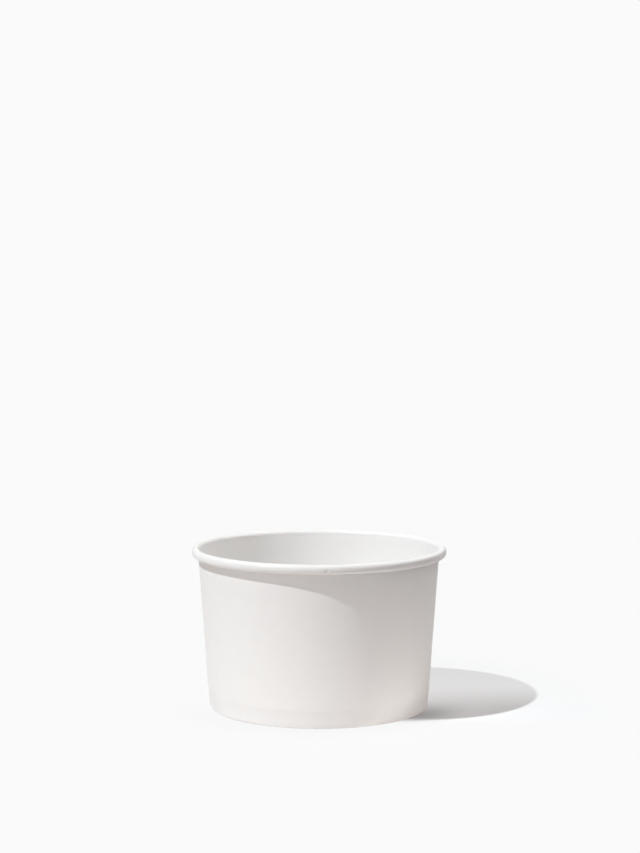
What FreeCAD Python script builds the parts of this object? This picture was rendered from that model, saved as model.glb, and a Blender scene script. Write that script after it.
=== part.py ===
import FreeCAD, Part
import math
import os

import Sketcher

# A paper soup container, made from two blanks of coated board. The side wall is wrapped into a cone with
# a lapped seam, rolled outwards at the top and folded inwards at the foot. The base is a disc whose edge
# is turned down into a skirt, and the foot's fold grips that skirt against the wall.
# The frame has +Z up, with its origin at the middle of the foot, on the surface that the cup stands on.

doc = FreeCAD.newDocument("SoupContainer")

SIZES = [
    ("CupHeight", 60.0, "foot to the top of the rolled rim"),
    ("RimDiameter", 95.2, "over the rolled rim, which a lid clips on"),
    ("BaseDiameter", 81.7, "outside of the wall, carried down to the foot"),
    ("WallBoard", 0.4, "thickness of the side wall's board"),
    ("BaseBoard", 0.35, "thickness of the base's board"),
    ("CurlRadius", 1.5, "outside radius of the rolled rim's bends"),
    ("CurlStraight", 0.5, "upright length between the roll's outer bends"),
    ("CurlGap", 0.03, "from the roll's inner turn to the seam's upper layer"),
    ("HemHeight", 5.8, "height of the hem's cut edge inside the foot"),
    ("FoldRadius", 0.05, "inside radius of the foot's fold"),
    ("BaseCorner", 0.4, "inside radius between the base and its skirt"),
    ("SealGap", 0.03, "between sealed faces of the two blanks"),
    ("HemGap", 0.1, "from the hem's cut edge to the bend above it"),
    ("LapWidth", 8.0, "overlap of the side seam"),
    ("LapRamp", 4.0, "length in which the upper layer climbs onto the lower one"),
    ("SeamAngle", 170.0, "where the upper layer's cut edge lies, in degrees from +X"),
]

sheet = doc.addObject("Spreadsheet::Sheet", "Sizes")
for row, (alias, value, meaning) in enumerate(SIZES, start=1):
    sheet.set(f"A{row}", meaning)
    sheet.set(f"B{row}", str(value))
    sheet.setAlias(f"B{row}", alias)
doc.recompute()

# Formulas of the sheet's sizes that more than one piece follows, from the foot up.
LEAN = "(90 deg - WallSection.Constraints.WallSlope)"
LAP_ANGLE = "(Sizes.LapWidth / Sizes.BaseDiameter * 360 deg / pi)"
RAMP_ANGLE = "(Sizes.LapRamp / Sizes.BaseDiameter * 360 deg / pi)"
PLAIN_FOOT = "Sizes.BaseDiameter / 2"
COATED_FOOT = "WallSection.Constraints.CoatedFoot / 1 mm"
FLOOR_TOP = "(Sizes.HemHeight + Sizes.HemGap + Sizes.BaseCorner + Sizes.BaseBoard)"
WALL_START = "(Sizes.WallBoard + Sizes.FoldRadius)"
SKIRT_END = f"({WALL_START} + Sizes.WallBoard + Sizes.SealGap)"     # clears the seam's two layers
CURL_INNER = "(Sizes.CurlRadius - 2 * Sizes.WallBoard - Sizes.CurlGap)"
ROLL_START = "(Sizes.CupHeight - Sizes.CurlRadius)"

START, END, CENTRE = range(1, 4)    # Sketcher's numbers for the points of a line or an arc
X_AXIS, Z_AXIS = range(-1, -3, -1)  # and for a sketch's own axes: across and up


def size(alias):
    return float(sheet.get(alias))


def origin_plane(body, role):
    return next(part for part in body.Origin.OriginFeatures if part.Role == role)


def new_sketch(body, name, role):
    sketch = body.newObject("Sketcher::SketchObject", name)
    sketch.AttachmentSupport = (origin_plane(body, role), [""])
    sketch.MapMode = "FlatFace"
    return sketch


def worked_out(sketch, formula):
    """The value of a formula of the sheet's sizes, with an angle in radians."""
    value = sketch.evalExpression(formula)
    return math.radians(value.Value) if isinstance(value, FreeCAD.Units.Quantity) else float(value)


def bind(sketch, name, formula, kind, *points):
    """Adds a named constraint that follows a formula of the sheet's sizes."""
    index = sketch.addConstraint(Sketcher.Constraint(kind, *points, worked_out(sketch, formula)))
    sketch.renameConstraint(index, name)
    sketch.setExpression(f"Constraints.{name}", formula)


def measure(sketch, name, kind, value, *points):
    """Adds a named constraint that only measures, for other sketches to follow."""
    index = sketch.addConstraint(Sketcher.Constraint(kind, *points, value))
    sketch.setDriving(index, False)
    sketch.renameConstraint(index, name)


def tie(sketch, kind, *points):
    sketch.addConstraint(Sketcher.Constraint(kind, *points))


class BoardSection:
    """The section of one folded board. It is drawn by walking along the board's coated face, with the
    thickness to the right of the walk. A move is (length, 0) for a straight run, or (radius, turn) for a
    bend, with the radius that of the coated face and the turn in radians, positive to the left."""

    def __init__(self, sketch, x, y, heading, moves, board):
        self.sketch = sketch
        self.coated = []
        self.plain = []
        for length, turn in moves:
            right = FreeCAD.Vector(math.sin(heading), -math.cos(heading), 0)
            here = FreeCAD.Vector(x, y, 0)
            if turn == 0:
                there = here + FreeCAD.Vector(math.cos(heading), math.sin(heading), 0) * length
                self.coated.append(self.add_run(here, there))
                self.plain.append(self.add_run(here + right * board, there + right * board))
            else:
                side = math.copysign(1, turn)
                centre = here - right * side * length
                self.coated.append(self.add_bend(centre, length, heading, turn))
                self.plain.append(self.add_bend(centre, length + side * board, heading, turn))
                heading += turn
                right = FreeCAD.Vector(math.sin(heading), -math.cos(heading), 0)
                there = centre + right * side * length
            x, y = there.x, there.y
        for face in (self.coated, self.plain):
            for (first, _, end), (second, start, _) in zip(face, face[1:]):
                tie(sketch, "Tangent", first, end, second, start)
        for (coated, _, _), (plain, _, _), (_, turn) in zip(self.coated, self.plain, moves):
            if turn:
                tie(sketch, "Coincident", coated, CENTRE, plain, CENTRE)
        self.first_edge = self.add_cut_edge(0, 1)
        self.last_edge = self.add_cut_edge(-1, 2)

    def ids(self, face):
        return [geometry for geometry, _, _ in face]

    def add_run(self, here, there):
        return self.sketch.addGeometry(Part.LineSegment(here, there)), START, END

    def add_bend(self, centre, radius, heading, turn):
        """An arc always runs anticlockwise, so a bend to the right is walked from its end to its start."""
        left = turn > 0
        begin = heading - math.pi / 2 if left else heading + math.pi / 2 + turn
        circle = Part.Circle(centre, FreeCAD.Vector(0, 0, 1), radius)
        arc = self.sketch.addGeometry(Part.ArcOfCircle(circle, begin, begin + abs(turn)))
        return (arc, START, END) if left else (arc, END, START)

    def add_cut_edge(self, place, point):
        """Closes the section with the board's cut edge at one end of the walk."""
        coated, plain = self.coated[place], self.plain[place]
        from_point = self.sketch.getPoint(coated[0], coated[point])
        to_point = self.sketch.getPoint(plain[0], plain[point])
        edge = self.sketch.addGeometry(Part.LineSegment(from_point, to_point))
        tie(self.sketch, "Coincident", edge, START, coated[0], coated[point])
        tie(self.sketch, "Coincident", edge, END, plain[0], plain[point])
        return edge


def wall_lean():
    """The wall's lean from upright: its plain face runs from the foot, tangent to the roll's inside."""
    across = (size("RimDiameter") - size("BaseDiameter")) / 2 - size("CurlRadius")
    up = size("CupHeight") - size("CurlRadius")
    inside = size("CurlRadius") - size("WallBoard")
    return math.atan2(across, up) - math.asin(inside / math.hypot(across, up))


def draw_wall_section(body):
    """Hem, foot fold, wall and rolled rim, walked from the hem's cut edge to the roll's cut edge."""
    sketch = new_sketch(body, "WallSection", "XZ_Plane")
    board, fold, curl = size("WallBoard"), size("FoldRadius"), size("CurlRadius")
    channel = size("BaseBoard") + 2 * size("SealGap")
    lean = wall_lean()
    slope, slant = math.sin(lean), math.cos(lean)
    hem_x = size("BaseDiameter") / 2 - (board + channel) / slant + size("HemHeight") * slope / slant
    hem_run = (size("HemHeight") - board - fold * (1 + slope)) / slant
    foot_run = (channel - 2 * fold) / slant
    wall_run = (size("CupHeight") - curl * (1 - slope) - board - fold * (1 - slope)) / slant
    moves = [
        (hem_run, 0),
        (fold, math.pi / 2 + lean),
        (foot_run, 0),
        (fold, math.pi / 2 - lean),
        (wall_run, 0),
        (curl, lean - math.pi),
        (size("CurlStraight"), 0),
        (curl, -math.pi / 2),
        (worked_out(sketch, CURL_INNER), -math.pi),
    ]
    section = BoardSection(sketch, hem_x, size("HemHeight"), -math.pi / 2 - lean, moves, board)
    hem, fold_in, foot, fold_out, wall, over, side, under, inner = section.ids(section.coated)
    hem_p, fold_in_p, foot_p, fold_out_p, wall_p, over_p, _, under_p, _ = section.ids(section.plain)

    tie(sketch, "Perpendicular", section.first_edge, hem)
    tie(sketch, "Parallel", hem_p, hem)
    tie(sketch, "Parallel", wall, hem)
    tie(sketch, "Horizontal", foot_p)
    tie(sketch, "PointOnObject", foot_p, START, X_AXIS)
    tie(sketch, "Vertical", side)
    tie(sketch, "Vertical", under, CENTRE, inner, CENTRE)
    tie(sketch, "Vertical", inner, CENTRE, inner, section.coated[-1][2])
    tie(sketch, "Vertical", section.last_edge)

    bind(sketch, "FoldInside", "Sizes.FoldRadius", "Radius", fold_in)
    bind(sketch, "FoldOutside", "Sizes.FoldRadius + Sizes.WallBoard", "Radius", fold_in_p)
    bind(sketch, "FoldInsideOuter", "Sizes.FoldRadius", "Radius", fold_out)
    bind(sketch, "FoldOutsideOuter", "Sizes.FoldRadius + Sizes.WallBoard", "Radius", fold_out_p)
    bind(sketch, "CurlOver", "Sizes.CurlRadius", "Radius", over)
    bind(sketch, "CurlOverInside", "Sizes.CurlRadius - Sizes.WallBoard", "Radius", over_p)
    bind(sketch, "CurlUnder", "Sizes.CurlRadius", "Radius", under)
    bind(sketch, "CurlUnderInside", "Sizes.CurlRadius - Sizes.WallBoard", "Radius", under_p)
    bind(sketch, "CurlInner", CURL_INNER, "Radius", inner)
    roll_across = "Sizes.RimDiameter / 2 - Sizes.CurlRadius"
    bind(sketch, "RollAcross", roll_across, "DistanceX", X_AXIS, START, over, CENTRE)
    bind(sketch, "RollUp", ROLL_START, "DistanceY", X_AXIS, START, over, CENTRE)
    bind(sketch, "RollSide", "Sizes.CurlStraight", "DistanceY", under, CENTRE, over, CENTRE)
    bind(sketch, "HemUp", "Sizes.HemHeight", "DistanceY", X_AXIS, START, hem, START)
    bind(sketch, "Channel", "Sizes.BaseBoard + 2 * Sizes.SealGap", "Distance", hem, START, wall)

    foot_point = sketch.addGeometry(Part.Point(FreeCAD.Vector(size("BaseDiameter") / 2, 0, 0)), True)
    tie(sketch, "PointOnObject", foot_point, START, X_AXIS)
    tie(sketch, "PointOnObject", foot_point, START, wall_p)
    bind(sketch, "FootAcross", "Sizes.BaseDiameter / 2", "DistanceX", X_AXIS, START, foot_point, START)

    coated_x = size("BaseDiameter") / 2 - board / slant
    coated_foot = sketch.addGeometry(Part.Point(FreeCAD.Vector(coated_x, 0, 0)), True)
    tie(sketch, "PointOnObject", coated_foot, START, X_AXIS)
    tie(sketch, "PointOnObject", coated_foot, START, wall)
    measure(sketch, "CoatedFoot", "DistanceX", coated_x, X_AXIS, START, coated_foot, START)
    measure(sketch, "WallSlope", "Angle", math.pi / 2 - lean, wall)
    return sketch


def level_sketch(body, name, height):
    """A sketch level with the table at a given height, turned so that its X axis meets the side seam."""
    sketch = new_sketch(body, name, "XY_Plane")
    seam_turn = FreeCAD.Rotation(FreeCAD.Vector(0, 0, 1), size("SeamAngle"))
    sketch.AttachmentOffset = FreeCAD.Placement(FreeCAD.Vector(0, 0, 0), seam_turn)
    sketch.setExpression(".AttachmentOffset.Rotation.Angle", "Sizes.SeamAngle * 1 deg")
    sketch.setExpression(".AttachmentOffset.Base.z", height)
    return sketch


def polar(radius, angle):
    return FreeCAD.Vector(radius * math.cos(angle), radius * math.sin(angle), 0)


def arc_about_axis(sketch, name, radius_formula, begin, turn):
    """An arc about the cup's axis, with its radius bound."""
    radius = worked_out(sketch, radius_formula)
    circle = Part.Circle(FreeCAD.Vector(0, 0, 0), FreeCAD.Vector(0, 0, 1), radius)
    arc = sketch.addGeometry(Part.ArcOfCircle(circle, begin, begin + turn))
    tie(sketch, "Coincident", arc, CENTRE, X_AXIS, START)
    bind(sketch, name, radius_formula, "Radius", arc)
    return arc


def straight(sketch, first, first_point, second, second_point):
    """A line between two points that are already drawn."""
    here, there = sketch.getPoint(first, first_point), sketch.getPoint(second, second_point)
    line = sketch.addGeometry(Part.LineSegment(here, there))
    tie(sketch, "Coincident", line, START, first, first_point)
    tie(sketch, "Coincident", line, END, second, second_point)
    return line


def draw_upper_layer(body, name, height):
    """The seam's upper layer, seen from above: its cut edge, the overlap and the ramp down to the wall."""
    sketch = level_sketch(body, name, height)
    lap, ramp = worked_out(sketch, LAP_ANGLE), worked_out(sketch, RAMP_ANGLE)
    wall = f"{PLAIN_FOOT} + {height} * tan({LEAN})"
    top = arc_about_axis(sketch, "Top", f"{wall} + Sizes.WallBoard", 0, lap)
    root = arc_about_axis(sketch, "Root", f"{wall} - Sizes.WallBoard / 2", 0, lap + ramp)
    cut_edge = straight(sketch, root, START, top, START)
    straight(sketch, top, END, root, END)
    tie(sketch, "Horizontal", cut_edge)
    tie(sketch, "PointOnObject", root, START, X_AXIS)
    bind(sketch, "LapAngle", LAP_ANGLE, "Angle", top)
    bind(sketch, "RampAngle", f"{LAP_ANGLE} + {RAMP_ANGLE}", "Angle", root)
    return sketch


def draw_inner_step(body, name, height):
    """The wedge that the climbing layer leaves inside, beside the lower layer's cut edge."""
    sketch = level_sketch(body, name, height)
    lap, ramp = worked_out(sketch, LAP_ANGLE), worked_out(sketch, RAMP_ANGLE)
    wall = f"{COATED_FOOT} + {height} * tan({LEAN})"
    mouth = arc_about_axis(sketch, "Mouth", f"{wall} - Sizes.WallBoard / 2", lap, ramp)
    deep = worked_out(sketch, f"{wall} + Sizes.WallBoard")
    lap_line = sketch.addGeometry(Part.LineSegment(FreeCAD.Vector(0, 0, 0), polar(deep, lap)), True)
    tie(sketch, "Coincident", lap_line, START, X_AXIS, START)
    bind(sketch, "LapAngle", LAP_ANGLE, "Angle", lap_line)
    bind(sketch, "Depth", f"{wall} + Sizes.WallBoard", "Distance", lap_line)
    tie(sketch, "PointOnObject", mouth, START, lap_line)
    bind(sketch, "RampAngle", RAMP_ANGLE, "Angle", mouth)
    straight(sketch, mouth, START, lap_line, END)
    straight(sketch, lap_line, END, mouth, END)
    return sketch


def add_loft(body, kind, name, draw, bottom, top):
    """Adds or cuts a straight-sided loft between two level sketches."""
    lower = draw(body, name + "Foot", bottom)
    upper = draw(body, name + "Top", top)
    doc.recompute()
    loft = body.newObject("PartDesign::" + kind, name)
    loft.Profile = lower
    loft.Sections = [upper]
    loft.Ruled = True
    return loft


def revolve(body, name, sketch):
    turned = body.newObject("PartDesign::Revolution", name)
    turned.Profile = sketch
    turned.ReferenceAxis = (sketch, ["V_Axis"])
    turned.Angle = 360
    return turned


def make_side_wall():
    body = doc.addObject("PartDesign::Body", "SideWall")
    body.Label = "side_wall"
    section = draw_wall_section(body)
    doc.recompute()
    revolve(body, "WallCone", section)
    doc.recompute()
    add_loft(body, "AdditiveLoft", "UpperLayer", draw_upper_layer, WALL_START, ROLL_START)
    doc.recompute()
    add_loft(body, "SubtractiveLoft", "InnerStep", draw_inner_step, FLOOR_TOP, ROLL_START)
    return body


def make_base_disc():
    """The base's board, walked from the axis along its coated top face and down the skirt."""
    body = doc.addObject("PartDesign::Body", "BaseDisc")
    body.Label = "base_disc"
    sketch = new_sketch(body, "BaseSection", "XZ_Plane")
    board, lean = size("BaseBoard"), wall_lean()
    slope, slant = math.sin(lean), math.cos(lean)
    top, corner = worked_out(sketch, FLOOR_TOP), size("BaseCorner") + board
    skirt_x = size("BaseDiameter") / 2 - (size("WallBoard") + size("SealGap")) / slant
    floor_run = skirt_x + (top - corner) * slope / slant - corner / slant
    skirt_run = (top - corner * (1 + slope) - worked_out(sketch, SKIRT_END)) / slant
    moves = [(floor_run, 0), (corner, -math.pi / 2 - lean), (skirt_run, 0)]
    section = BoardSection(sketch, 0, top, 0, moves, board)
    floor, bend, skirt = section.ids(section.coated)
    floor_p, bend_p, skirt_p = section.ids(section.plain)
    wall_face = sketch.addGeometry(
        Part.LineSegment(
            FreeCAD.Vector(worked_out(sketch, COATED_FOOT), 0, 0),
            FreeCAD.Vector(worked_out(sketch, COATED_FOOT) + top * slope / slant, top, 0),
        ),
        True,
    )

    tie(sketch, "Horizontal", floor)
    tie(sketch, "Horizontal", floor_p)
    tie(sketch, "Vertical", section.first_edge)
    tie(sketch, "PointOnObject", floor, START, Z_AXIS)
    tie(sketch, "Parallel", skirt, wall_face)
    tie(sketch, "Parallel", skirt_p, skirt)
    tie(sketch, "Perpendicular", section.last_edge, skirt)
    tie(sketch, "PointOnObject", wall_face, START, X_AXIS)
    bind(sketch, "WallFaceAcross", COATED_FOOT, "DistanceX", X_AXIS, START, wall_face, START)
    bind(sketch, "WallFaceSlope", "WallSection.Constraints.WallSlope", "Angle", wall_face)
    bind(sketch, "WallFaceUp", FLOOR_TOP, "DistanceY", wall_face, START, wall_face, END)
    bind(sketch, "FloorTop", FLOOR_TOP, "DistanceY", X_AXIS, START, floor, START)
    bind(sketch, "BendOutside", "Sizes.BaseCorner + Sizes.BaseBoard", "Radius", bend)
    bind(sketch, "BendInside", "Sizes.BaseCorner", "Radius", bend_p)
    bind(sketch, "SkirtGap", "Sizes.SealGap", "Distance", skirt, END, wall_face)
    bind(sketch, "SkirtEnd", SKIRT_END, "DistanceY", X_AXIS, START, skirt, END)
    doc.recompute()
    revolve(body, "BaseDish", sketch)
    return body


def check_document(pieces):
    """Stops if any object failed to recompute, or any piece isn't one valid solid."""
    for item in doc.Objects:
        if any(word in item.State for word in ("Invalid", "Error")):
            raise RuntimeError(f"{item.Name} is {item.State}: {item.getStatusString()}")
        if item.TypeId == "Sketcher::SketchObject" and not item.FullyConstrained:
            raise RuntimeError(f"{item.Name} isn't fully constrained")
    for piece in pieces:
        if piece.Shape.isNull() or not piece.Shape.isValid() or len(piece.Shape.Solids) != 1:
            raise RuntimeError(f"{piece.Label} isn't one valid solid")


pieces = [make_side_wall(), make_base_disc()]
doc.recompute()
check_document(pieces)
os.makedirs("parts", exist_ok=True)
for piece in pieces:
    piece.Shape.exportStep(f"parts/{piece.Label}.step")
    box = piece.Shape.optimalBoundingBox(True)
    extents = f"{box.XLength:.2f} x {box.YLength:.2f} x {box.ZLength:.2f} mm"
    print(f"{piece.Label}: {piece.Shape.Volume:.0f} mm3, {extents}")
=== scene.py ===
import itertools
import math

import bmesh
import bpy
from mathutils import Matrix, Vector


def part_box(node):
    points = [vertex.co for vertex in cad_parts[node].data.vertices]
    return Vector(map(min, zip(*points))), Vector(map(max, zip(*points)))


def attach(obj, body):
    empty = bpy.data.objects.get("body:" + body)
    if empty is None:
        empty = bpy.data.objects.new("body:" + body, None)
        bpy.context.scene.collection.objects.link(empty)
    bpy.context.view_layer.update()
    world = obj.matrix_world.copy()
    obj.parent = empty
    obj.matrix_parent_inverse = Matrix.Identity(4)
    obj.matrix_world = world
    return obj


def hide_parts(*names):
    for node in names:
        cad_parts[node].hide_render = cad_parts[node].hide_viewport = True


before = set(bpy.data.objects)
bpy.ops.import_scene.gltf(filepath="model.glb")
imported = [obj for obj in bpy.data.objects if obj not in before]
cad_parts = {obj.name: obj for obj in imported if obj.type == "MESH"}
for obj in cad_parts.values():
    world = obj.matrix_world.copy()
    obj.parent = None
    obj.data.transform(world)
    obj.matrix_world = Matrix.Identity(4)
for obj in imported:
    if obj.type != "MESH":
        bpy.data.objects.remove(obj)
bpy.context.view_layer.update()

# A paper soup container: a cone of coated board with a lapped seam, a rolled rim and a folded foot, and
# a base whose skirt is pinched inside that foot. Metres, +Z up, standing on the floor at z = 0.

mm = 0.001
backdropWhite = 0.956       # how bright the floor and the backdrop look
bpy.context.scene.view_settings.view_transform = "Standard"


def addNode(tree, kind, inputs=None, **settings):
    node = tree.nodes.new(kind)
    for name, value in settings.items():    # first, because they can change the node's sockets
        setattr(node, name, value)
    for key, value in (inputs or {}).items():
        if isinstance(value, bpy.types.NodeSocket):
            tree.links.new(value, node.inputs[key])
        else:
            node.inputs[key].default_value = value
    return node


def calc(tree, operation, *values):
    return addNode(tree, "ShaderNodeMath", dict(enumerate(values)), operation=operation).outputs[0]


def vectorCalc(tree, operation, *values, result="Vector"):
    # The result is "Value" for a length, a distance or a dot product.
    node = addNode(tree, "ShaderNodeVectorMath", dict(enumerate(values)), operation=operation)
    return node.outputs[result]


def scaled(tree, value, share):
    node = addNode(tree, "ShaderNodeVectorMath", {0: value, "Scale": share}, operation="SCALE")
    return node.outputs["Vector"]


def eased(tree, value, start, end, first=0.0, last=1.0):
    node = addNode(
        tree, "ShaderNodeMapRange",
        {"Value": value, "From Min": start, "From Max": end, "To Min": first, "To Max": last},
        interpolation_type="SMOOTHSTEP",
    )
    return node.outputs[0]


def addSockets(tree, inOut, sockets):
    for name, kind, value in sockets:
        socket = tree.interface.new_socket(name, in_out=inOut, socket_type="NodeSocket" + kind)
        if value is not None:
            socket.default_value = value


camera = {
    "place": (0.0003, -0.7479, 0.1680),
    "pitch": 4.82,          # degrees below level
    "lens": 85.0,           # mm, as is the height of the sensor
    "sensor": 36.0,
    "nearest": 0.01,
    "furthest": 50.0,
}


def makeCamera():
    data = bpy.data.cameras.new("camera")
    data.sensor_fit = "VERTICAL"
    data.sensor_height = camera["sensor"]
    data.lens = camera["lens"]
    data.clip_start = camera["nearest"]
    data.clip_end = camera["furthest"]
    view = bpy.data.objects.new("camera", data)
    bpy.context.scene.collection.objects.link(view)
    view.rotation_euler = (math.radians(90 - camera["pitch"]), 0, 0)
    view.location = camera["place"]
    bpy.context.scene.camera = view


# A direction points from the container to the lamp, and an angle is how wide the lamp looks, in degrees.
softLight = {"colour": (1.0, 0.94, 0.92), "angle": 60.0}
lamps = [
    {
        "name": "keySun",
        "direction": (-0.51, -0.295, 0.82),
        "strength": 2.31,
        "colour": (0.95, 0.985, 1.0),
        "angle": 1.4,
    },
    {"name": "frontSoft", "direction": (0.0, -0.906, 0.423), "strength": 0.43, **softLight},
    {"name": "leftSoft", "direction": (-0.579, -0.579, 0.574), "strength": 0.42, **softLight},
    {"name": "rightSoft", "direction": (0.574, 0.0, 0.819), "strength": 0.83, **softLight},
    {"name": "backSoft", "direction": (0.628, 0.527, 0.574), "strength": 0.48, **softLight},
]


def addSun(lamp):
    data = bpy.data.lights.new(lamp["name"], "SUN")
    data.energy = lamp["strength"]
    data.color = lamp["colour"]
    data.angle = math.radians(lamp["angle"])
    sun = bpy.data.objects.new(lamp["name"], data)
    sun.rotation_euler = Vector(lamp["direction"]).to_track_quat("Z", "Y").to_euler()
    bpy.context.scene.collection.objects.link(sun)


def seenDirectly(tree):
    # 1 for rays that look straight at a surface, or through a mirror or glass
    path = addNode(tree, "ShaderNodeLightPath").outputs
    glossy = calc(tree, "MAXIMUM", path["Is Camera Ray"], path["Is Glossy Ray"])
    return calc(tree, "MAXIMUM", glossy, path["Is Transmission Ray"])


def makeWorld():
    # It lights nothing, and shows bright behind the container and in reflections.
    world = bpy.data.worlds.new("studio")
    world.use_nodes = True
    tree = world.node_tree
    tree.nodes.clear()
    shown = calc(tree, "MULTIPLY", seenDirectly(tree), backdropWhite)
    backdrop = addNode(tree, "ShaderNodeBackground", {"Color": (1, 1, 1, 1), "Strength": shown})
    addNode(tree, "ShaderNodeOutputWorld", {"Surface": backdrop.outputs[0]})
    bpy.context.scene.world = world


# A pair of numbers is where a fade starts and where it ends. A depth is measured along Y.
floorFinish = {
    "radius": 6.0,
    "bounce": (0.86, 0.815, 0.79),          # the colour that it gives back to the container
    "palePlace": (-0.130, -0.030, 0.0),     # the middle of its pale part,
    "paleFade": (0.23, 0.29),               # which gives way to a dark room this far from there
    "glow": 0.40,                           # more light off the floor by the foot, at the front right
    "glowColour": (1.0, 0.93, 0.90),
    "glowPlace": (0.040, -0.045, 0.0),
    "glowFade": (0.005, 0.035),
    "look": (0.908, 0.926, 0.936),          # its colour to the eye, where it takes shade
    "paintedContactShade": 0.47,                        # painted contact shade: the share of that colour left right by the foot, at the front
    "paintedContactShadeFade": (0.041, 0.060),          # from the container's axis
    "paintedContactShadeDepth": (-0.020, 0.012),
    "shadowWay": (0.873, 0.489, 0.0),       # the way that the shadow falls
    "shadeStart": (-0.005, 0.020),          # the floor takes shade beyond this, along that way,
    "shadeEnd": (0.095, 0.115),             # up to this, from the container's axis,
    "shadeFront": (-0.032, -0.022),         # and behind this depth
    "litLift": 0.95,                        # share of its look that shade doesn't reach: elsewhere,
    "frontLift": 0.05,                      # at the shadow's front edge,
    "backLift": 0.62,                       # and at its back edge
    "shadowDepth": (-0.025, 0.035),         # the depths of those two edges
}


def floorBounce(tree, place):
    # What the floor gives back to the container
    finish = floorFinish
    fromPale = vectorCalc(tree, "DISTANCE", place, finish["palePlace"], result="Value")
    pale = eased(tree, fromPale, *finish["paleFade"], 1.0, 0.0)
    diffuse = addNode(tree, "ShaderNodeBsdfDiffuse", {"Color": scaled(tree, finish["bounce"], pale)})
    fromGlow = vectorCalc(tree, "DISTANCE", place, finish["glowPlace"], result="Value")
    shine = eased(tree, fromGlow, *finish["glowFade"], finish["glow"], 0.0)
    glow = addNode(tree, "ShaderNodeEmission", {"Color": (*finish["glowColour"], 1), "Strength": shine})
    return addNode(tree, "ShaderNodeAddShader", {0: diffuse.outputs[0], 1: glow.outputs[0]}).outputs[0]


def floorAppearance(tree, place):
    # What is seen of the floor: the backdrop's tone, mixed with a surface that takes the shadow
    finish = floorFinish
    distance = vectorCalc(tree, "LENGTH", place, result="Value")
    depth = addNode(tree, "ShaderNodeSeparateXYZ", {0: place}).outputs["Y"]
    # painted shade: the floor's look is darkened by a fixed share right by the foot, at the front, as a
    # contact shadow
    near = eased(tree, distance, *finish["paintedContactShadeFade"], finish["paintedContactShade"] - 1, 0.0)
    front = eased(tree, depth, *finish["paintedContactShadeDepth"], 1.0, 0.0)
    paintedContactShade = calc(tree, "MULTIPLY_ADD", near, front, 1.0)
    shaded = addNode(tree, "ShaderNodeBsdfDiffuse", {"Color": scaled(tree, finish["look"], paintedContactShade)})

    across = vectorCalc(tree, "DOT_PRODUCT", place, finish["shadowWay"], result="Value")
    beyond = eased(tree, across, *finish["shadeStart"])
    within = eased(tree, distance, *finish["shadeEnd"], 1.0, 0.0)
    behind = eased(tree, depth, *finish["shadeFront"])
    shadeZone = calc(tree, "MULTIPLY", beyond, calc(tree, "MULTIPLY", within, behind))
    # painted light in the shadow: the backdrop's tone is mixed into it, little at its front edge and more
    # towards its back, so the shadow is drawn lighter towards the back
    lift = eased(tree, depth, *finish["shadowDepth"], finish["frontLift"], finish["backLift"])
    change = calc(tree, "SUBTRACT", lift, finish["litLift"])
    share = calc(tree, "MULTIPLY_ADD", shadeZone, change, finish["litLift"])
    tone = (backdropWhite, backdropWhite, backdropWhite, 1)
    plain = addNode(tree, "ShaderNodeEmission", {"Color": tone, "Strength": 1.0})
    mixed = addNode(tree, "ShaderNodeMixShader", {0: share, 1: shaded.outputs[0], 2: plain.outputs[0]})
    return mixed.outputs[0]


def floorMaterial():
    material = bpy.data.materials.new("paleFloor")
    material.use_nodes = True
    tree = material.node_tree
    tree.nodes.clear()
    place = addNode(tree, "ShaderNodeTexCoord").outputs["Object"]
    mixed = addNode(
        tree, "ShaderNodeMixShader",
        {0: seenDirectly(tree), 1: floorBounce(tree, place), 2: floorAppearance(tree, place)},
    )
    addNode(tree, "ShaderNodeOutputMaterial", {"Surface": mixed.outputs[0]})
    return material


def makeFloor():
    mesh = bpy.data.meshes.new("floor")
    build = bmesh.new()
    bmesh.ops.create_circle(build, cap_ends=True, segments=128, radius=floorFinish["radius"])
    build.to_mesh(mesh)
    build.free()
    mesh.materials.append(floorMaterial())
    floor = bpy.data.objects.new("floor", mesh)
    bpy.context.scene.collection.objects.link(floor)


makeCamera()
makeWorld()
makeFloor()
for lamp in lamps:
    addSun(lamp)
print("camera, floor and light are set")


fibre = {
    "cloud": {"Detail": 3.0, "Roughness": 0.55},
    "felt": {"Detail": 5.0, "Roughness": 0.62, "Distortion": 1.2},
    "fuzz": {"Detail": 2.0, "Roughness": 0.5},
    "cloudScale": 0.22,     # both of these against the scale of the felt
    "fuzzScale": 3.5,
    "feltTone": 0.5,        # how much the felt changes the clouds' tone
    "fuzzHeight": 0.35,     # and the fuzz the felt's height
}


def fibreGroup():
    # Paper fibre: cloudy tone over a few millimetres, and fine bumps of felted and loose fibres
    tree = bpy.data.node_groups.new("fibreGrain", "ShaderNodeTree")
    addSockets(tree, "INPUT", [
        ("Vector", "Vector", None),
        ("Scale", "Float", 1.0),
        ("Contrast", "Float", 0.02),
    ])
    addSockets(tree, "OUTPUT", [("Tone", "Float", None), ("Height", "Float", None)])
    given = addNode(tree, "NodeGroupInput").outputs

    def noise(kind, scale):
        inputs = {"Vector": given["Vector"], "Scale": scale}
        return addNode(tree, "ShaderNodeTexNoise", inputs | fibre[kind]).outputs[0]

    cloud = noise("cloud", calc(tree, "MULTIPLY", given["Scale"], fibre["cloudScale"]))
    felt = noise("felt", given["Scale"])
    fuzz = noise("fuzz", calc(tree, "MULTIPLY", given["Scale"], fibre["fuzzScale"]))
    cloudy = calc(tree, "SUBTRACT", cloud, 0.5)     # noise lies round a half
    streaky = calc(tree, "SUBTRACT", felt, 0.5)
    uneven = calc(tree, "MULTIPLY_ADD", streaky, fibre["feltTone"], cloudy)
    tone = calc(tree, "MULTIPLY_ADD", uneven, given["Contrast"], 1.0)
    height = calc(tree, "MULTIPLY_ADD", fuzz, fibre["fuzzHeight"], felt)
    addNode(tree, "NodeGroupOutput", {"Tone": tone, "Height": height})
    return tree


fibreGrain = fibreGroup()


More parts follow.
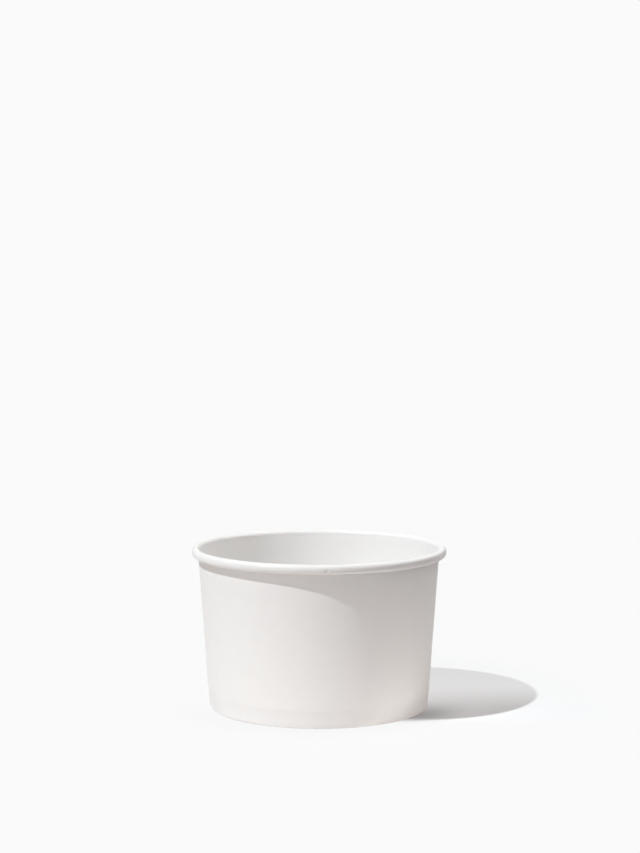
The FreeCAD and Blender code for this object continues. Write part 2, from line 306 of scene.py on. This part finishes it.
def boardMaterial(finish):
    material = bpy.data.materials.new(finish["name"])
    material.use_nodes = True
    tree = material.node_tree
    shader = tree.nodes["Principled BSDF"].inputs
    place = addNode(tree, "ShaderNodeTexCoord").outputs["Object"]
    if finish["stretch"]:
        place = addNode(tree, "ShaderNodeMapping", {"Vector": place, "Scale": finish["stretch"]}).outputs[0]
    grain = addNode(
        tree, "ShaderNodeGroup",
        {"Vector": place, "Scale": finish["grainScale"], "Contrast": finish["contrast"]},
        node_tree=fibreGrain,
    ).outputs
    rough = calc(tree, "MULTIPLY_ADD", grain["Height"], finish["roughSpread"], finish["roughness"])
    bump = addNode(
        tree, "ShaderNodeBump",
        {"Height": grain["Height"], "Strength": finish["bump"], "Distance": finish["bumpHeight"]},
    )
    tree.links.new(scaled(tree, finish["colour"], grain["Tone"]), shader["Base Color"])
    tree.links.new(rough, shader["Roughness"])
    tree.links.new(bump.outputs[0], shader["Normal"])
    shader["IOR"].default_value = finish["ior"]
    shader["Specular IOR Level"].default_value = finish["specular"]
    shader["Subsurface Weight"].default_value = finish["thinness"]
    shader["Subsurface Radius"].default_value = finish["spread"]
    shader["Subsurface Scale"].default_value = finish["spreadDepth"]
    return material


coatedFinish = {
    "name": "coatedBoard",      # the food side: inside, over the rolled rim and round the hem
    "colour": (0.940, 0.937, 0.925),
    "stretch": None,            # the grain's scale along each axis, where the fibres lie one way
    "grainScale": 900.0,
    "contrast": 0.03,
    "roughness": 0.40,
    "roughSpread": 0.10,
    "ior": 1.48,
    "specular": 0.5,
    "thinness": 0.3,            # share of the light that goes into the board
    "spread": (1.0, 0.95, 0.85),    # how far its red, green and blue spread there, times spreadDepth
    "spreadDepth": 0.9 * mm,
    "bump": 0.25,
    "bumpHeight": 0.02 * mm,
}
coatedBoard = boardMaterial(coatedFinish)
plainBoard = boardMaterial(coatedFinish | {
    "name": "plainBoard",       # the smooth matt outside
    "colour": (0.908, 0.904, 0.895),
    "stretch": (1.0, 1.0, 0.5),     # the fibres run up the wall
    "grainScale": 1100.0,
    "contrast": 0.04,
    "roughness": 0.56,
    "specular": 0.4,
    "bump": 0.4,
    "bumpHeight": 0.03 * mm,
})
baseBoardPaintedShade = boardMaterial(coatedFinish | {
    "name": "baseBoardPaintedShade",        # the base: painted shade, its board drawn darker than its own colour to keep its lit inside face from clipping to white
    "colour": (0.790, 0.787, 0.778),
    "roughness": 0.45,
})
cutEdge = boardMaterial(coatedFinish | {
    "name": "cutEdge",          # bare fibre where the board was cut
    "colour": (0.86, 0.835, 0.78),
    "grainScale": 2600.0,
    "contrast": 0.25,
    "roughness": 0.85,
    "roughSpread": 0.05,
    "ior": 1.45,
    "specular": 0.2,
    "thinness": 0.4,
    "bump": 0.8,
    "bumpHeight": 0.05 * mm,
})
print("finishes are ready")


wallShape = {
    "board": 0.40 * mm,
    "hemHeight": 5.8 * mm,
    "footRadius": 40.85 * mm,       # plain face, carried down to the table
    "foldRadius": 0.05 * mm,
    "curlRadius": 1.5 * mm,
    "curlStraight": 0.5 * mm,
    "curlInner": 0.67 * mm,
    "curlStop": 0.05 * mm,          # the seam's outer layer ends this far past the bends of the roll
    "channel": 0.41 * mm,           # room for the base's skirt
    "layerStep": 0.42 * mm,         # from one layer of the seam to the other
    "pinch": 0.08 * mm,             # the foot is pressed onto the base's skirt
    "pinchFade": (5.4 * mm, 6.9 * mm),      # a pair is the heights between which something fades
    "steps": 640,
    "lapSteps": 20,
    "rampSteps": 10,                # in which the outer layer climbs onto the inner one
    "rollRampSteps": 1.5,           # and in the rolled rim, where the seam is pressed
    "seamAngle": 170.0,             # degrees from +X, as all angles are
    "ribs": 128,                    # knurled into the hem
    "ribHeight": 0.10 * mm,
    "ribStart": (1.2 * mm, 2.2 * mm),
    "ribEnd": (4.4 * mm, 5.2 * mm),
    "dentAngle": 273.4,             # a nick in the rim
    "dentWidth": 1.2,               # degrees, on either side of it
    "dentDepth": 0.34 * mm,
    "waviness": 0.10 * mm,
    "waveStart": (9 * mm, 25 * mm),     # the foot holds the wall true below this
    "waveSeed": 3.0,
    # the pressed part of the seam starts so many points of the section past the end of the plain wall,
    "pressStart": (-1, 3),
    # and the nick starts and ends so many points past the outermost side of the roll
    "dentStart": (-3, 1),
    "dentEnd": (2, 7),
}

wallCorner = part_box("side_wall")[1]     # the one furthest along each axis
rimRadius = wallCorner.x
cupHeight = wallCorner.z


def smoothShare(value, start, end):
    share = min(max((value - start) / (end - start), 0.0), 1.0)
    return share * share * (3 - 2 * share)


def wallLean():
    # The plain face runs from the foot, tangent to the inside of the roll.
    across = rimRadius - wallShape["curlRadius"] - wallShape["footRadius"]
    up = cupHeight - wallShape["curlRadius"]
    inside = wallShape["curlRadius"] - wallShape["board"]
    return math.atan2(across, up) - math.asin(inside / math.hypot(across, up))


def walkSection(x, z, heading, moves):
    # Walks along a board's coated face. A move is (length, turn, pieces): a straight run where the turn
    # is 0, or else a bend whose coated radius is the length. Returns (x, z) points.
    points = [(x, z)]
    for length, turn, pieces in moves:
        for _ in range(pieces):
            if turn == 0:
                step, bend = length / pieces, 0.0
            else:
                bend = turn / pieces
                step = 2 * length * math.sin(abs(bend) / 2)
            heading += bend / 2
            x += step * math.cos(heading)
            z += step * math.sin(heading)
            heading += bend / 2
            points.append((x, z))
    return points


def wallSection(layer):
    # layer is "single" away from the seam, "upper" for its outer layer and "lower" for its inner one
    shape = wallShape
    lean = wallLean()
    slope, slant = math.sin(lean), math.cos(lean)
    fold, curl = shape["foldRadius"], shape["curlRadius"]
    board, step = shape["board"], shape["layerStep"]
    raised = board + (step if layer == "lower" else 0.0)
    outward = 0.0
    ending = (shape["curlInner"], -math.pi, 6)
    if layer == "upper":
        outward = step
        fold += step
        curl -= step
        ending = (shape["curlStop"], 0.0, 6)
    centreZ = raised + fold
    hemTop = shape["hemHeight"]
    hemX = shape["footRadius"] - (board + shape["channel"] + outward - hemTop * slope) / slant
    hemRun = (hemTop - centreZ - fold * slope) / slant
    footRun = (shape["channel"] + 2 * outward - 2 * fold) / slant
    curlStart = cupHeight - shape["curlRadius"] + curl * slope
    heights = [centreZ + fold * slope, *shape["pinchFade"], curlStart]
    runs = [(above - below) / slant for below, above in zip(heights, heights[1:])]
    moves = [
        (hemRun, 0.0, 8),
        (fold, math.pi / 2 + lean, 3),
        (footRun, 0.0, 1),
        (fold, math.pi / 2 - lean, 3),
        (runs[0], 0.0, 3),
        (runs[1], 0.0, 5),
        (runs[2], 0.0, 10),
        (curl, lean - math.pi, 12),
        (shape["curlStraight"], 0.0, 1),
        (curl, -math.pi / 2, 8),
        ending,
    ]
    return walkSection(hemX, hemTop, -math.pi / 2 - lean, moves), moves


def pinched(point):
    x, z = point
    return x - wallShape["pinch"] * (1 - smoothShare(z, *wallShape["pinchFade"])), z


def sectionObject(name, points, attributes):
    # The section as a line of vertices that the wrapping tree reads
    mesh = bpy.data.meshes.new(name)
    edges = [(place, place + 1) for place in range(len(points) - 1)]
    mesh.from_pydata([(x, 0.0, z) for x, z in points], edges, [])
    for label, values in attributes.items():
        kind = "FLOAT" if isinstance(values[0], float) else "FLOAT_VECTOR"
        layer = mesh.attributes.new(label, kind, "POINT")
        for item, value in zip(layer.data, values):
            if kind == "FLOAT":
                item.value = value
            else:
                item.vector = value
    section = bpy.data.objects.new(name, mesh)
    bpy.context.scene.collection.objects.link(section)
    return section


waveNoise = {
    "rise": 12.0,       # of the noise, per metre up the wall, where a turn is a circle of radius 1
    "scale": 1.3,
    "detail": 2.0,
    "roughness": 0.5,
}


def wrapTree():
    tree = bpy.data.node_groups.new("wrapBoard", "GeometryNodeTree")
    addSockets(tree, "INPUT", [
        ("Geometry", "Geometry", None),
        ("Steps", "Int", 360),
        ("Lap Steps", "Int", 0),
        ("Start Angle", "Float", 0.0),
        ("Ribs", "Int", 0),
        ("Rib Height", "Float", 0.0),
        ("Dent Angle", "Float", 0.0),
        ("Dent Width", "Float", 0.01),
        ("Dent Depth", "Float", 0.0),
        ("Waviness", "Float", 0.0),
        ("Seed", "Float", 0.0),
        ("Material", "Material", None),
    ])
    addSockets(tree, "OUTPUT", [("Geometry", "Geometry", None)])
    given = addNode(tree, "NodeGroupInput").outputs

    # a grid whose rows are steps round the container and whose columns are points of the section
    size = addNode(tree, "GeometryNodeAttributeDomainSize", {"Geometry": given["Geometry"]})
    count = size.outputs["Point Count"]
    rows = calc(tree, "ADD", calc(tree, "ADD", given["Steps"], given["Lap Steps"]), 1.0)
    grid = addNode(
        tree, "GeometryNodeMeshGrid",
        {"Size X": 1.0, "Size Y": 1.0, "Vertices X": rows, "Vertices Y": count},
    ).outputs["Mesh"]
    place = {0: addNode(tree, "GeometryNodeInputIndex").outputs[0], 1: count}
    column = addNode(tree, "FunctionNodeIntegerMath", place, operation="MODULO").outputs[0]
    row = addNode(tree, "FunctionNodeIntegerMath", place, operation="DIVIDE_FLOOR").outputs[0]

    def fromSection(value, kind):
        return addNode(
            tree, "GeometryNodeSampleIndex",
            {"Geometry": given["Geometry"], "Value": value, "Index": column},
            data_type=kind, domain="POINT",
        ).outputs["Value"]

    def stored(label, kind="FLOAT"):
        named = addNode(tree, "GeometryNodeInputNamedAttribute", {"Name": label}, data_type=kind)
        return fromSection(named.outputs["Attribute"], kind)

    # the section's points, moved onto the seam's outer layer at the start and its inner one at the end
    ramp = stored("rampSteps")
    rampEnd = calc(tree, "ADD", given["Lap Steps"], ramp)
    upperShare = eased(tree, row, given["Lap Steps"], rampEnd, 1.0, 0.0)
    lowerShare = eased(tree, row, calc(tree, "SUBTRACT", given["Steps"], ramp), given["Steps"])
    point = fromSection(addNode(tree, "GeometryNodeInputPosition").outputs[0], "FLOAT_VECTOR")
    for label, share in (("upperShift", upperShare), ("lowerShift", lowerShare)):
        point = vectorCalc(tree, "ADD", point, scaled(tree, stored(label, "FLOAT_VECTOR"), share))

    turn = calc(tree, "MULTIPLY", calc(tree, "DIVIDE", row, given["Steps"]), 2 * math.pi)
    angle = calc(tree, "ADD", turn, given["Start Angle"])
    ribWave = calc(tree, "COSINE", calc(tree, "MULTIPLY", turn, given["Ribs"]))
    rib = calc(tree, "MULTIPLY", calc(tree, "MULTIPLY_ADD", ribWave, -0.5, 0.5), given["Rib Height"])
    fromDent = calc(tree, "ABSOLUTE", calc(tree, "SUBTRACT", angle, given["Dent Angle"]))
    dentShare = eased(tree, fromDent, 0.0, given["Dent Width"], 1.0, 0.0)
    dent = calc(tree, "MULTIPLY", dentShare, given["Dent Depth"])
    height = addNode(tree, "ShaderNodeSeparateXYZ", {0: point}).outputs["Z"]
    around = addNode(tree, "ShaderNodeCombineXYZ", {
        "X": calc(tree, "COSINE", angle),
        "Y": calc(tree, "SINE", angle),
        "Z": calc(tree, "MULTIPLY", height, waveNoise["rise"]),
    }).outputs[0]
    noise = addNode(tree, "ShaderNodeTexNoise", {
        "Vector": around,
        "W": given["Seed"],
        "Scale": waveNoise["scale"],
        "Detail": waveNoise["detail"],
        "Roughness": waveNoise["roughness"],
    }, noise_dimensions="4D").outputs[0]
    wave = calc(tree, "MULTIPLY", noise, given["Waviness"])

    inward = 0.0
    for label, depth in (("ribMask", rib), ("dentMask", dent), ("waveMask", wave)):
        inward = calc(tree, "MULTIPLY_ADD", depth, stored(label), inward)
    push = addNode(tree, "ShaderNodeCombineXYZ", {"X": calc(tree, "MULTIPLY", inward, -1.0)}).outputs[0]
    point = vectorCalc(tree, "ADD", point, push)
    turned = addNode(
        tree, "ShaderNodeVectorRotate", {"Vector": point, "Angle": angle}, rotation_type="Z_AXIS",
    ).outputs[0]
    wrapped = addNode(tree, "GeometryNodeSetPosition", {"Geometry": grid, "Position": turned}).outputs[0]
    facing = addNode(tree, "GeometryNodeFlipFaces", {"Mesh": wrapped}).outputs[0]
    real = addNode(tree, "GeometryNodeRealizeInstances", {"Geometry": facing}).outputs[0]
    finished = addNode(tree, "GeometryNodeSetMaterial", {"Geometry": real, "Material": given["Material"]})
    addNode(tree, "NodeGroupOutput", {"Geometry": finished.outputs[0]})
    return tree


wrapBoard = wrapTree()
mergeDistance = 1e-7        # joins the two ends of the base's turn
sharpAngle = math.radians(40)


def plainMesh(item, name):
    # The evaluated object as a plain mesh
    evaluated = item.evaluated_get(bpy.context.evaluated_depsgraph_get())
    mesh = bpy.data.meshes.new_from_object(evaluated)
    mesh.name = name
    return mesh


def wrapPiece(name, section, values, board):
    modifier = section.modifiers.new("wrap", "NODES")
    modifier.node_group = wrapBoard
    for item in wrapBoard.interface.items_tree:
        if item.item_type == "SOCKET" and item.in_out == "INPUT" and item.name in values:
            modifier[item.identifier] = values[item.name]
    sheet = plainMesh(section, name)
    section.modifiers.remove(modifier)
    bpy.data.objects.remove(section)

    build = bmesh.new()
    build.from_mesh(sheet)
    bmesh.ops.remove_doubles(build, verts=build.verts, dist=mergeDistance)
    build.to_mesh(sheet)
    build.free()
    for material in (plainBoard, cutEdge):      # after the coated face: the plain face and the edges
        sheet.materials.append(material)
    piece = bpy.data.objects.new(name, sheet)
    bpy.context.scene.collection.objects.link(piece)
    thicken = piece.modifiers.new("thicken", "SOLIDIFY")
    thicken.thickness = board
    thicken.offset = -1
    thicken.use_even_offset = True
    thicken.material_offset = 1
    thicken.material_offset_rim = 2
    solid = plainMesh(piece, name)
    piece.modifiers.remove(thicken)
    piece.data = solid
    solid.shade_smooth()
    solid.set_sharp_from_angle(angle=sharpAngle)
    triangles = sum(len(face.vertices) - 2 for face in solid.polygons)
    print(name, len(solid.vertices), "vertices,", triangles, "triangles")
    return piece


def wallMasks(section, moves):
    # For each point of the section: how much of the ribs, the nick and the unevenness reaches it, and in
    # how many steps the seam's outer layer climbs onto the inner one there
    shape = wallShape
    ends = list(itertools.accumulate(pieces for _, _, pieces in moves))
    hemEnd, wallStart, wallEnd, rollSide = ends[0], ends[3], ends[6], ends[8]
    masks = {"ribMask": [], "dentMask": [], "waveMask": [], "rampSteps": []}
    for place, (_, z) in enumerate(section):
        rib = smoothShare(z, *shape["ribStart"]) - smoothShare(z, *shape["ribEnd"])
        masks["ribMask"].append(rib if place <= hemEnd else 0.0)
        past = place - rollSide
        nicked = smoothShare(past, *shape["dentStart"]) - smoothShare(past, *shape["dentEnd"])
        masks["dentMask"].append(nicked)
        masks["waveMask"].append(smoothShare(z, *shape["waveStart"]) if place > wallStart else 0.0)
        pressed = smoothShare(place - wallEnd, *shape["pressStart"])
        ramp = shape["rampSteps"] + (shape["rollRampSteps"] - shape["rampSteps"]) * pressed
        masks["rampSteps"].append(ramp)
    return masks


def makeWall():
    shape = wallShape
    single, moves = wallSection("single")
    single = [pinched(point) for point in single]
    attributes = wallMasks(single, moves)
    for layer in ("upper", "lower"):
        points = [pinched(point) for point in wallSection(layer)[0]]
        attributes[layer + "Shift"] = [(a[0] - b[0], 0.0, a[1] - b[1]) for a, b in zip(points, single)]
    section = sectionObject("wallSection", single, attributes)
    return wrapPiece("paperWall", section, {
        "Steps": shape["steps"],
        "Lap Steps": shape["lapSteps"],
        "Start Angle": math.radians(shape["seamAngle"]),
        "Ribs": shape["ribs"],
        "Rib Height": shape["ribHeight"],
        "Dent Angle": math.radians(shape["dentAngle"]),
        "Dent Width": math.radians(shape["dentWidth"]),
        "Dent Depth": shape["dentDepth"],
        "Waviness": shape["waviness"],
        "Seed": shape["waveSeed"],
        "Material": coatedBoard,
    }, shape["board"])


paperWall = makeWall()
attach(paperWall, "root")
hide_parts("side_wall")
print("the wall is wrapped")


baseShape = {
    "board": 0.35 * mm,
    "corner": 0.75 * mm,        # coated face of the bend into the skirt
    "sealGap": 0.03 * mm,
    "sag": 0.25 * mm,
    "steps": 320,
}


def makeBase():
    shape = baseShape
    bottom, top = (end.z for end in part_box("base_disc"))
    lean = wallLean()
    slope, slant = math.sin(lean), math.cos(lean)
    corner = shape["corner"]
    skirtX = wallShape["footRadius"] - (wallShape["board"] + shape["sealGap"]) / slant
    floorRun = skirtX + ((top - corner) * slope - corner) / slant
    skirtRun = (top - corner * (1 + slope) - bottom) / slant
    points = walkSection(0.0, top, 0.0, [
        (floorRun, 0.0, 16),
        (corner, -math.pi / 2 - lean, 6),
        (skirtRun, 0.0, 8),
    ])
    sagging = [(x, z - shape["sag"] * (1 - smoothShare(x, 0.0, floorRun))) for x, z in points]
    noShift = [(0.0, 0.0, 0.0)] * len(points)
    noMask = [0.0] * len(points)
    section = sectionObject("baseSection", [pinched(point) for point in sagging], {
        "upperShift": noShift,
        "lowerShift": noShift,
        "ribMask": noMask,
        "dentMask": noMask,
        "waveMask": noMask,
        "rampSteps": [1.0] * len(points),
    })
    return wrapPiece("paperBase", section, {
        "Steps": shape["steps"],
        "Lap Steps": 0,
        "Material": baseBoardPaintedShade,
    }, shape["board"])


paperBase = makeBase()
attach(paperBase, "root")
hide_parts("base_disc")
print("the base is in")
